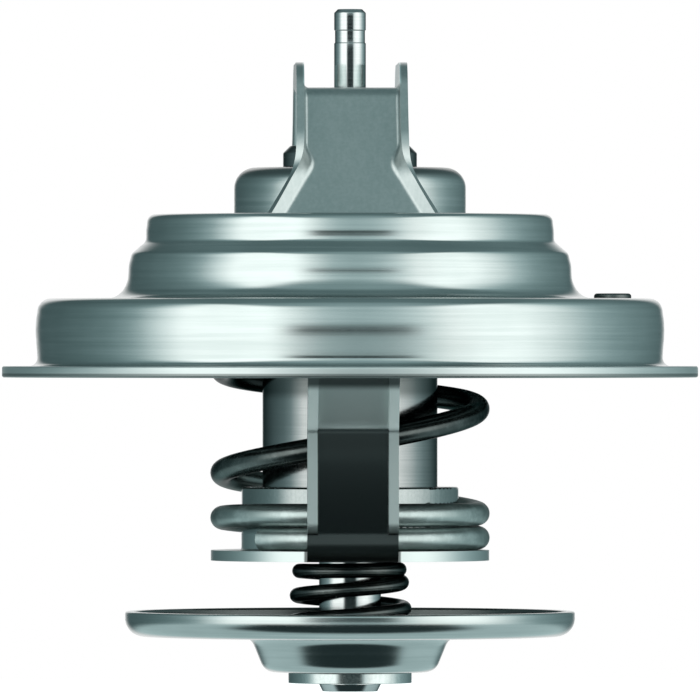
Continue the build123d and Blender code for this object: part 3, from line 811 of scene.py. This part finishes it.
def ground_finish(name, level, roughness):
    """Ground and polished: close lines round the piece, hardly deep enough to see. From just under the
    flange to near the crown's top, inside the seat, it is darker: painted shade."""
    made = Finish(name, 1.0, **DARK_EDGES)
    line = made.noise(scale=1.0, detail=4.0, stretch=(60.0, 60.0, 5200.0))
    cloud = made.noise(scale=260.0, detail=2.0)
    tone = made.ease(line * 0.6 + cloud * 0.4, 0.35, 0.65)
    colour = made.mix(tone, grey(level * 0.93, 0.04), grey(level * 1.04, 0.02))
    # Painted shade: darker inside the seat, from just under the flange to near the crown's top
    flange_shade = made.fade(made.z, FLANGE_SHADE_START) * (1.0 - made.fade(made.z, FLANGE_SHADE_END))
    made.set("Base Color", made.mix(flange_shade, colour, grey(level * 0.45, 0.08)))
    made.set("Roughness", roughness + (line - 0.5) * 0.1 + (cloud - 0.5) * 0.06)
    made.relief(line, depth=0.000006, strength=0.3)
    return made.material


def wire_finish(name, level, roughness):
    """Drawn wire with lighter rubbed patches, in lit and shaded copies: the main spring's lowest turns are
    lighter, painted light, and its upper turns darker, painted shade; the bypass spring takes the darker
    copy. The main spring's top turns inside the flange are darker still: painted shade."""
    made = Finish(name, 1.0, **DARK_EDGES)
    patch = made.noise(scale=420.0, detail=4.0)
    speck = made.noise(scale=2600.0)
    rubbed = made.ease(patch * 0.7 + speck * 0.3, 0.42, 0.68)
    # Lit and shaded copies of the wire: painted light on the lower turns, painted shade above them
    low = made.mix(rubbed, grey(level * 1.35, 0.12), grey(level * 1.85, 0.10))
    high = made.mix(rubbed, grey(level * 0.26, 0.12), grey(level * 0.42, 0.10))
    under_plate = 1.0 - made.fade(made.z, COIL_UNDER_PLATE)
    dark_copy_share = made.math("MAXIMUM", made.fade(made.z, COIL_SHADE_RISE), under_plate)
    colour = made.mix(dark_copy_share, low, high)
    # Painted shade: the top turns inside the flange are darker still
    flange_shade = made.fade(made.z, COIL_FLANGE_SHADE)
    made.set("Base Color", made.mix(flange_shade, colour, grey(level * 0.1, 0.1)))
    gloss = roughness + (speck - 0.5) * 0.12 + (patch - 0.5) * 0.1
    made.set("Roughness", gloss + (1.0 - dark_copy_share) * 0.14)
    made.relief(speck * 0.6 + patch * 0.4, depth=0.000004, strength=0.4)
    return made.material


def moulded_finish(name, colour, roughness, speckle=0.25):
    """Moulded rubber, plastic or wax: not metal, with a fine matt skin."""
    made = Finish(name, 0.0)
    skin = made.noise(scale=1800.0)
    cloud = made.noise(scale=200.0)
    tone = made.ease(skin * 0.5 + cloud * 0.5, 0.35, 0.65)
    low, high = ([c * (1 + s) for c in colour] + [1.0] for s in (-speckle, speckle))
    made.set("Base Color", made.mix(tone, low, high))
    made.set("Roughness", roughness + (skin - 0.5) * 0.2)
    made.relief(skin, depth=0.000015, strength=0.5)
    return made.material


finishes = {
    "drawn_steel": drawn_finish("drawn_steel", level=0.51, roughness=0.165, sheared=True),
    "bridge_steel": pressed_finish("bridge_steel", level=0.48, roughness=0.32, marks=lip_painted_light),
    "frame_steel": pressed_finish("frame_steel", level=0.34, roughness=0.10, marks=leg_marks_and_painted_light),
    "valve_steel": drawn_finish("valve_steel", level=0.48, roughness=0.22, darkening=hub_painted_shade),
    "disc_steel": drawn_finish("disc_steel", level=0.50, roughness=0.20, darkening=rim_darkening),
    "clip_steel": pressed_finish("clip_steel", level=0.52, roughness=0.14),
    "polished_steel": ground_finish("polished_steel", level=0.54, roughness=0.12),
    "plated_brass": ground_finish("plated_brass", level=0.33, roughness=0.13),
    "spring_steel": wire_finish("spring_steel", level=0.34, roughness=0.24),
    "vent_metal": ground_finish("vent_metal", level=0.30, roughness=0.35),
    "black_rubber": moulded_finish("black_rubber", (0.02, 0.02, 0.021), roughness=0.55),
    "slip_plastic": moulded_finish("slip_plastic", (0.78, 0.78, 0.74), roughness=0.45, speckle=0.05),
    "wax": moulded_finish("wax", (0.42, 0.26, 0.13), roughness=0.5, speckle=0.2),
}
bodies = frame["record"]["behaviour"]["bodies"]
body_of_node = {node: body for body, nodes in bodies.items() for node in nodes}


def place(node, mesh, slot):
    """Puts a finished piece in the scene in place of its node: on its body, with its slot's finish."""
    piece = bpy.data.objects.new(mesh.name, mesh)
    bpy.context.scene.collection.objects.link(piece)
    mesh.materials.append(finishes[slot])
    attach(piece, body_of_node[node])
    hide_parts(node)
    return piece


def make_seat():
    """Seat flange: rim, barrelled skirt, step and crown of one drawn sheet, with a hole for the vent."""
    line = [
        (FLANGE_RADIUS, SEAT_SHEET), (SKIRT_RADIUS, SEAT_SHEET), (SKIRT_RADIUS, SKIRT_HEIGHT),
        (STEP_ROOT_RADIUS, SKIRT_HEIGHT), (STEP_RADIUS, STEP_HEIGHT), (CROWN_RADIUS, CROWN_NECK_HEIGHT),
        (CROWN_RADIUS - CROWN_DRAFT, CROWN_HEIGHT), (PORT_RADIUS, CROWN_HEIGHT),
    ]
    bends = [SKIRT_BEND_ROOT, SKIRT_BEND, STEP_BEND_ROOT, CROWN_BEND, CROWN_BEND_ROOT, CROWN_BEND]
    loop = sheet_loop(line, bends, SEAT_SHEET, SEAT_EDGE, SEAT_LONGEST_RUN)
    low, high = SEAT_SHEET + SKIRT_BEND_ROOT, SKIRT_HEIGHT - SKIRT_BEND
    loop = barrel(loop, low, high, SKIRT_RADIUS - 1.5 * SEAT_SHEET, SKIRT_BARREL)
    loop = ripple(ripple(loop, *STEP_RIPPLE), *CROWN_RIPPLE)
    seat = place("seat_flange", turned_mesh("drawn_seat", loop), "drawn_steel")

    bore_top = 2 * SKIRT_HEIGHT
    bore = turned_loop([
        (0, 0, SQUARE), (VENT_BODY_RADIUS, 0, SQUARE),
        (VENT_BODY_RADIUS, bore_top, SQUARE), (0, bore_top, SQUARE),
    ])
    cutter = bpy.data.objects.new("vent_bore", turned_mesh("vent_bore", bore, VENT_REACH))
    bpy.context.scene.collection.objects.link(cutter)
    cut = seat.modifiers.new("vent_hole", "BOOLEAN")
    cut.operation, cut.solver, cut.object = "DIFFERENCE", "EXACT", cutter
    evaluated = seat.evaluated_get(bpy.context.evaluated_depsgraph_get())
    seat.data = bpy.data.meshes.new_from_object(evaluated)
    seat.modifiers.clear()
    bpy.data.objects.remove(cutter)


def make_vent():
    """Vent eyelet with a rolled head and foot; its loose ball keeps the shape of its solid."""
    chamber_floor, chamber_top = VENT_FOOT + VENT_LIP, VENT_TOP - VENT_LIP
    rows = [
        (VENT_MOUTH_RADIUS, VENT_TOP, SMALL), (VENT_HEAD_RADIUS, VENT_TOP, VENT_HEAD_ROUND),
        (VENT_HEAD_RADIUS, SKIRT_HEIGHT, SMALL), (VENT_BODY_RADIUS, SKIRT_HEIGHT, SQUARE),
        (VENT_BODY_RADIUS, SHOULDER_UNDER, SQUARE), (VENT_HEAD_RADIUS, SHOULDER_UNDER, SMALL),
        (VENT_HEAD_RADIUS, VENT_FOOT, VENT_FOOT_ROUND), (VENT_MOUTH_RADIUS, VENT_FOOT, SMALL),
        (VENT_MOUTH_RADIUS, chamber_floor, SQUARE), (VENT_CHAMBER_RADIUS, chamber_floor, SQUARE),
        (VENT_CHAMBER_RADIUS, chamber_top, SQUARE), (VENT_MOUTH_RADIUS, chamber_top, SQUARE),
    ]
    place("vent_eyelet", turned_mesh("rolled_eyelet", turned_loop(rows), VENT_REACH), "vent_metal")


def make_piston():
    """Polished piston with a bevelled free end, a shallow ring below it and a tapered tip."""
    radius, inner = PISTON_DIA / 2, PISTON_DIA / 2 - PISTON_RING_DEPTH
    ring_bottom = PISTON_RING_TOP - PISTON_RING_WIDTH
    rows = [
        (0, PISTON_TOP, SQUARE), (radius - PISTON_CHAMFER, PISTON_TOP, SLIGHT),
        (radius, PISTON_TOP - PISTON_CHAMFER, EASED), (radius, PISTON_RING_TOP, HAIR),
        (inner, PISTON_RING_TOP - PISTON_RING_DEPTH, HAIR), (inner, ring_bottom + PISTON_RING_DEPTH, HAIR),
        (radius, ring_bottom, HAIR), (radius, PISTON_TIP + PISTON_TAPER, PISTON_TAPER_BEND),
        (PISTON_TIP_DIA / 2, PISTON_TIP, SOFT), (0, PISTON_TIP, SQUARE),
    ]
    place("piston", turned_mesh("polished_piston", turned_loop(rows)), "polished_steel")


def make_valve():
    """Valve hat with its hub, brim and turned-down edge, and the seal that wraps the edge."""
    line = [
        (VALVE_RADIUS, BRIM_TOP - VALVE_EDGE), (VALVE_RADIUS, BRIM_TOP), (VALVE_HUB_RADIUS, BRIM_TOP),
        (VALVE_HUB_RADIUS, HUB_TOP), (VALVE_HOLE_RADIUS, HUB_TOP),
    ]
    bends = [VALVE_EDGE_BEND, VALVE_ROOT_BEND, VALVE_HUB_BEND]
    loop = sheet_loop(line, bends, VALVE_SHEET, VALVE_SHEET_EDGE)
    place("main_valve", turned_mesh("valve_hat", loop), "valve_steel")
    outer, top = VALVE_RADIUS + SEAL_PROUD, BRIM_TOP + SEAL_PROUD
    line = [(outer, BRIM_TOP - VALVE_EDGE), (outer, top), (VALVE_RADIUS - SEAL_WIDTH, top)]
    loop = sheet_loop(line, [VALVE_EDGE_BEND + SEAL_PROUD], SEAL_SHEET, SEAL_EDGE)
    place("valve_seal", turned_mesh("moulded_seal", loop), "black_rubber")


def make_element():
    """Case with its rounded floor and crimped rim, and the turned guide that closes it."""
    rim = CASE_RADIUS - CASE_RIM_WALL
    wall = CASE_RADIUS - CASE_WALL
    crimp = rim - CRIMP_REACH
    floor = CASE_BOTTOM + CASE_FLOOR
    spigot = ROD_SPIGOT_RADIUS + SPIGOT_CLEARANCE
    spigot_top = ROD_SPIGOT_TOP + SPIGOT_CLEARANCE
    rows = [
        (spigot, CASE_BOTTOM, SMALL), (CASE_RADIUS, CASE_BOTTOM, CASE_CORNER),
        (CASE_RADIUS, HUB_UNDER, CASE_RIM_ROUND), (crimp, HUB_UNDER, SOFT), (crimp, CRIMP_UNDER, SMALL),
        (rim, CRIMP_UNDER, SQUARE), (rim, CASE_LEDGE, SQUARE), (wall, CASE_LEDGE, SQUARE),
        (wall, floor, CASE_FLOOR_BEND), (0, floor, SQUARE),
        (0, spigot_top, SQUARE), (spigot, spigot_top, SQUARE),
    ]
    place("element_case", turned_mesh("plated_case", turned_loop(rows)), "plated_brass")
    rows = [
        (WIPER_POCKET_RADIUS, GUIDE_TOP, SMALL), (GUIDE_HEAD_RADIUS - GUIDE_HEAD_BEVEL, GUIDE_TOP, EASED),
        (GUIDE_HEAD_RADIUS, GUIDE_TOP - GUIDE_HEAD_BEVEL, GUIDE_HEAD_ROUND),
        (GUIDE_HEAD_RADIUS, HUB_TOP, EASED),
        (GUIDE_NECK_RADIUS, HUB_TOP, SQUARE), (GUIDE_NECK_RADIUS, HUB_UNDER, SQUARE),
        (GUIDE_STEP_RADIUS, HUB_UNDER, SQUARE), (GUIDE_STEP_RADIUS, CRIMP_UNDER, SQUARE),
        (GUIDE_BASE_RADIUS, CRIMP_UNDER, SMALL), (GUIDE_BASE_RADIUS, GUIDE_BOTTOM, SMALL),
        (BACKING_POCKET_RADIUS, GUIDE_BOTTOM, SQUARE), (BACKING_POCKET_RADIUS, BACKING_POCKET_TOP, SQUARE),
        (GUIDE_BORE_RADIUS, BACKING_POCKET_TOP, SQUARE), (GUIDE_BORE_RADIUS, WIPER_POCKET_FLOOR, SQUARE),
        (WIPER_POCKET_RADIUS, WIPER_POCKET_FLOOR, SQUARE),
    ]
    place("element_guide", turned_mesh("turned_guide", turned_loop(rows)), "plated_brass")


def make_bypass():
    """Bypass rod with its clip groove, and the drawn pan that slides on it."""
    rows = [
        (0, ROD_SPIGOT_TOP, SQUARE), (ROD_SPIGOT_RADIUS, ROD_SPIGOT_TOP, SMALL),
        (ROD_SPIGOT_RADIUS, CASE_BOTTOM, SQUARE), (ROD_RADIUS, CASE_BOTTOM, SQUARE),
        (ROD_RADIUS, CLIP_GROOVE_TOP, SLIGHT), (CLIP_GROOVE_RADIUS, CLIP_GROOVE_TOP, FINE),
        (CLIP_GROOVE_RADIUS, CLIP_GROOVE_BOTTOM, FINE), (ROD_RADIUS, CLIP_GROOVE_BOTTOM, FINE),
        (ROD_RADIUS, ROD_END + 2 * ROD_END_BEVEL, SMALL), (ROD_RADIUS - ROD_END_BEVEL, ROD_END, SMALL),
        (0, ROD_END, SQUARE),
    ]
    place("bypass_rod", turned_mesh("grooved_rod", turned_loop(rows)), "polished_steel")
    line = [
        (DISC_HOLE_RADIUS, BOSS_UNDER), (BOSS_RADIUS, BOSS_UNDER), (BOSS_RADIUS + BOSS_FLARE, DISC_UNDER),
        (DISC_RADIUS, DISC_UNDER), (DISC_RADIUS, DISC_UNDER + DISC_RIM),
    ]
    loop = sheet_loop(line, [BOSS_BEND, DISC_ROOT_BEND, DISC_RIM_BEND], DISC_SHEET, DISC_EDGE)
    place("bypass_disc", turned_mesh("drawn_pan", loop), "disc_steel")


def make_pressings():
    """Bridge of one bent channel, and the lower frame and clip as eased copies of their solids."""
    legs = weigh_edges(eased_copy("leg_frame", "lower_frame"), on_leg_lips)
    clip = eased_copy("spring_clip", "retaining_clip")
    for node, mesh, slot, ease, limit in (
        ("upper_bridge", strap_mesh("strap_bridge"), "bridge_steel", BRIDGE_EASE, "ANGLE"),
        ("lower_frame", legs, "frame_steel", FRAME_EASE, "WEIGHT"),
        ("retaining_clip", clip, "clip_steel", CLIP_EASE, "ANGLE"),
    ):
        piece = place(node, mesh, slot)
        bevel = piece.modifiers.new("eased_edges", "BEVEL")
        bevel.width, bevel.segments, bevel.limit_method = ease * MM, BEVEL_SEGMENTS, limit
        bevel.angle_limit = SHARP_ANGLE
        bevel.harden_normals = True


def make_springs():
    """Main spring, which the valve presses down, and bypass spring, which the pan presses up."""
    main = place("main_spring", coil_mesh("main_coil", MAIN_SPRING), "spring_steel")
    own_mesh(main)
    bypass = place("bypass_spring", coil_mesh("bypass_coil", BYPASS_SPRING), "spring_steel")
    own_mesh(bypass)


def dress_kept_solids():
    """Small inner pieces keep the shape of their solids and take the finish of their slot."""
    for node, slot in (
        ("vent_ball", "polished_steel"), ("backing_ring", "slip_plastic"), ("wiper_seal", "black_rubber"),
        ("rubber_boot", "black_rubber"), ("wax_charge", "wax"),
    ):
        solid = frame["nodes"][node]
        solid.data.materials.clear()
        solid.data.materials.append(finishes[slot])


# Studio: level of the light round the horizon, from behind the object through its left, front and right
STUDIO_RING = (
    (-180, 0.13), (-160, 0.13), (-135, 0.20), (-112, 0.30), (-98, 0.40), (-86, 0.62),
    (-75, 1.25), (-65, 1.90), (-30, 2.05), (-20, 1.38), (-10, 0.90), (2, 0.76),
    (14, 0.86), (24, 1.14), (36, 1.65), (50, 1.95), (66, 1.92), (82, 1.40),
    (98, 0.82), (112, 0.54), (130, 0.38), (150, 0.25), (160, 0.18), (180, 0.18),
)
BRIGHT_LEVEL = 1.6
BRIGHT_TINT = np.array([0.95, 1.0, 0.985])
DIM_TINT = np.array([0.54, 0.93, 0.97])
WHITE = (1.0, 1.0, 1.0, 1.0)

# Levels of the light above and below the horizon and in the gap
TOP_FRONT = 0.50
TOP_BACK = 0.27
LOW_SIDE = 0.80
LOW_FRONT = 0.05
STUDIO_GAP = 0.03

# Where the light changes, by parts of the direction of view
TOP_BACKWARD = (-0.45, 0.0)
LOW_FORWARD = (0.05, 0.32)
LOW_SIDEWAYS = (0.7, 0.88)
LIFT_SIDEWAYS = (0.35, 0.75)

# Where the light changes, by heights above the horizon and turns from the front, in degrees
TOP_RISE = (18.0, 52.0)
SIDE_LIFT = 35.0
LOW_FALL = (9.0, 20.0)
GAP_TURN = (17.0, 29.0)
GAP_BOTTOM = (-7.2, -3.2)
GAP_TOP = (1.8, 7.8)
BEHIND_TURN = (160.0, 176.0)
BEHIND_RISE = (25.0, 45.0)

# Floor: half its width in metres, its grey and its glow for the camera
FLOOR_HALF_WIDTH = 0.4
FLOOR_GREY = (0.8, 0.8, 0.8, 1.0)
FLOOR_GLOW = 0.8


def tinted(level):
    """Light of a level: nearly white where it is bright, cool where it is dim."""
    share = min(1.0, level / BRIGHT_LEVEL)
    return (*(level * (DIM_TINT + (BRIGHT_TINT - DIM_TINT) * share)), 1.0)


def make_studio():
    """World: soft light round the horizon, dimmer above and below it, and a dark gap where the camera
    stands. The camera sees plain white behind the object, and so does metal that looks there."""
    world = bpy.data.worlds.new("studio")
    bpy.context.scene.world = world
    nodes = Nodes(world)
    x, y, z = nodes.parts(nodes.node("TexCoord", None, None, "Generated"))
    wide = abs(x)
    turn = nodes.math("ARCTAN2", x, y * -1.0) * (180 / pi)
    rise = nodes.math("ARCSINE", z) * (180 / pi)
    stops = [((angle + 180) / 360, tinted(level)) for angle, level in STUDIO_RING]
    light = nodes.node("ValToRGB", {"stops": stops}, {0: (turn + 180.0) / 360.0})

    top = nodes.mix(nodes.ease(y, *TOP_BACKWARD), tinted(TOP_FRONT), tinted(TOP_BACK))
    lift = nodes.ease(wide, *LIFT_SIDEWAYS) * SIDE_LIFT
    light = nodes.mix(nodes.ease(rise - lift, *TOP_RISE), light, top)
    ahead = nodes.ease(y * -1.0, *LOW_FORWARD) * (1.0 - nodes.ease(wide, *LOW_SIDEWAYS))
    low = nodes.mix(ahead, tinted(LOW_SIDE), tinted(LOW_FRONT))
    light = nodes.mix(nodes.ease(rise * -1.0, *LOW_FALL), light, low)

    across = 1.0 - nodes.ease(abs(turn), *GAP_TURN)
    upright = nodes.ease(rise, *GAP_BOTTOM) * (1.0 - nodes.ease(rise, *GAP_TOP))
    light = nodes.mix(across * upright, light, tinted(STUDIO_GAP))

    behind = nodes.ease(abs(turn), *BEHIND_TURN) * (1.0 - nodes.ease(abs(rise), *BEHIND_RISE))
    mirrored = nodes.node("LightPath", None, None, "Is Glossy Ray") * behind
    seen = nodes.math("MAXIMUM", nodes.node("LightPath", None, None, "Is Camera Ray"), mirrored)
    light = nodes.mix(seen, light, WHITE)
    shade = nodes.node("Background", None, {0: light, 1: 1.0})
    end = nodes.tree.nodes.new("ShaderNodeOutputWorld")
    nodes.feed(end.inputs[0], shade)


def make_floor():
    """Pale floor at the lowest place that the rod reaches, with the valve open. For the camera it glows up
    to the white of the background and keeps the object's shadow. Metal doesn't mirror it, and sees the
    studio's own light below the horizon."""
    half = FLOOR_HALF_WIDTH
    level = (ROD_END - VALVE_STROKE) * MM
    corners = [(-half, -half, level), (half, -half, level), (half, half, level), (-half, half, level)]
    mesh = bpy.data.meshes.new("pale_floor")
    mesh.from_pydata(corners, [], [(0, 1, 2, 3)])
    floor = bpy.data.objects.new("pale_floor", mesh)
    bpy.context.scene.collection.objects.link(floor)
    floor.visible_glossy = False
    material = bpy.data.materials.new("pale_floor")
    nodes = Nodes(material)
    matt = nodes.node("BsdfDiffuse", None, {0: FLOOR_GREY})
    seen = nodes.node("LightPath", None, None, "Is Camera Ray")
    glow = nodes.node("Emission", None, {0: WHITE, 1: seen * FLOOR_GLOW})
    shown = nodes.node("AddShader", None, {0: matt, 1: glow})
    end = nodes.tree.nodes.new("ShaderNodeOutputMaterial")
    nodes.feed(end.inputs[0], shown)
    mesh.materials.append(material)


def make_camera():
    """Level camera at the photograph's viewing angle."""
    data = bpy.data.cameras.new("camera")
    data.sensor_width = SENSOR_WIDTH
    data.lens = SENSOR_WIDTH * CAMERA_DISTANCE / FRAME_WIDTH
    data.clip_start, data.clip_end = CLIP_NEAR, CLIP_FAR
    camera = bpy.data.objects.new("camera", data)
    x, y = CAMERA_DISTANCE * sin(CAMERA_TURN), -CAMERA_DISTANCE * cos(CAMERA_TURN)
    camera.location = (x, y, CAMERA_HEIGHT)
    camera.rotation_euler = (pi / 2, 0, CAMERA_TURN)
    bpy.context.scene.collection.objects.link(camera)
    bpy.context.scene.camera = camera


make_camera()
make_studio()
make_floor()
make_seat()
make_vent()
make_piston()
make_valve()
make_element()
make_bypass()
make_pressings()
make_springs()
dress_kept_solids()

bpy.context.scene.view_settings.view_transform = "Standard"
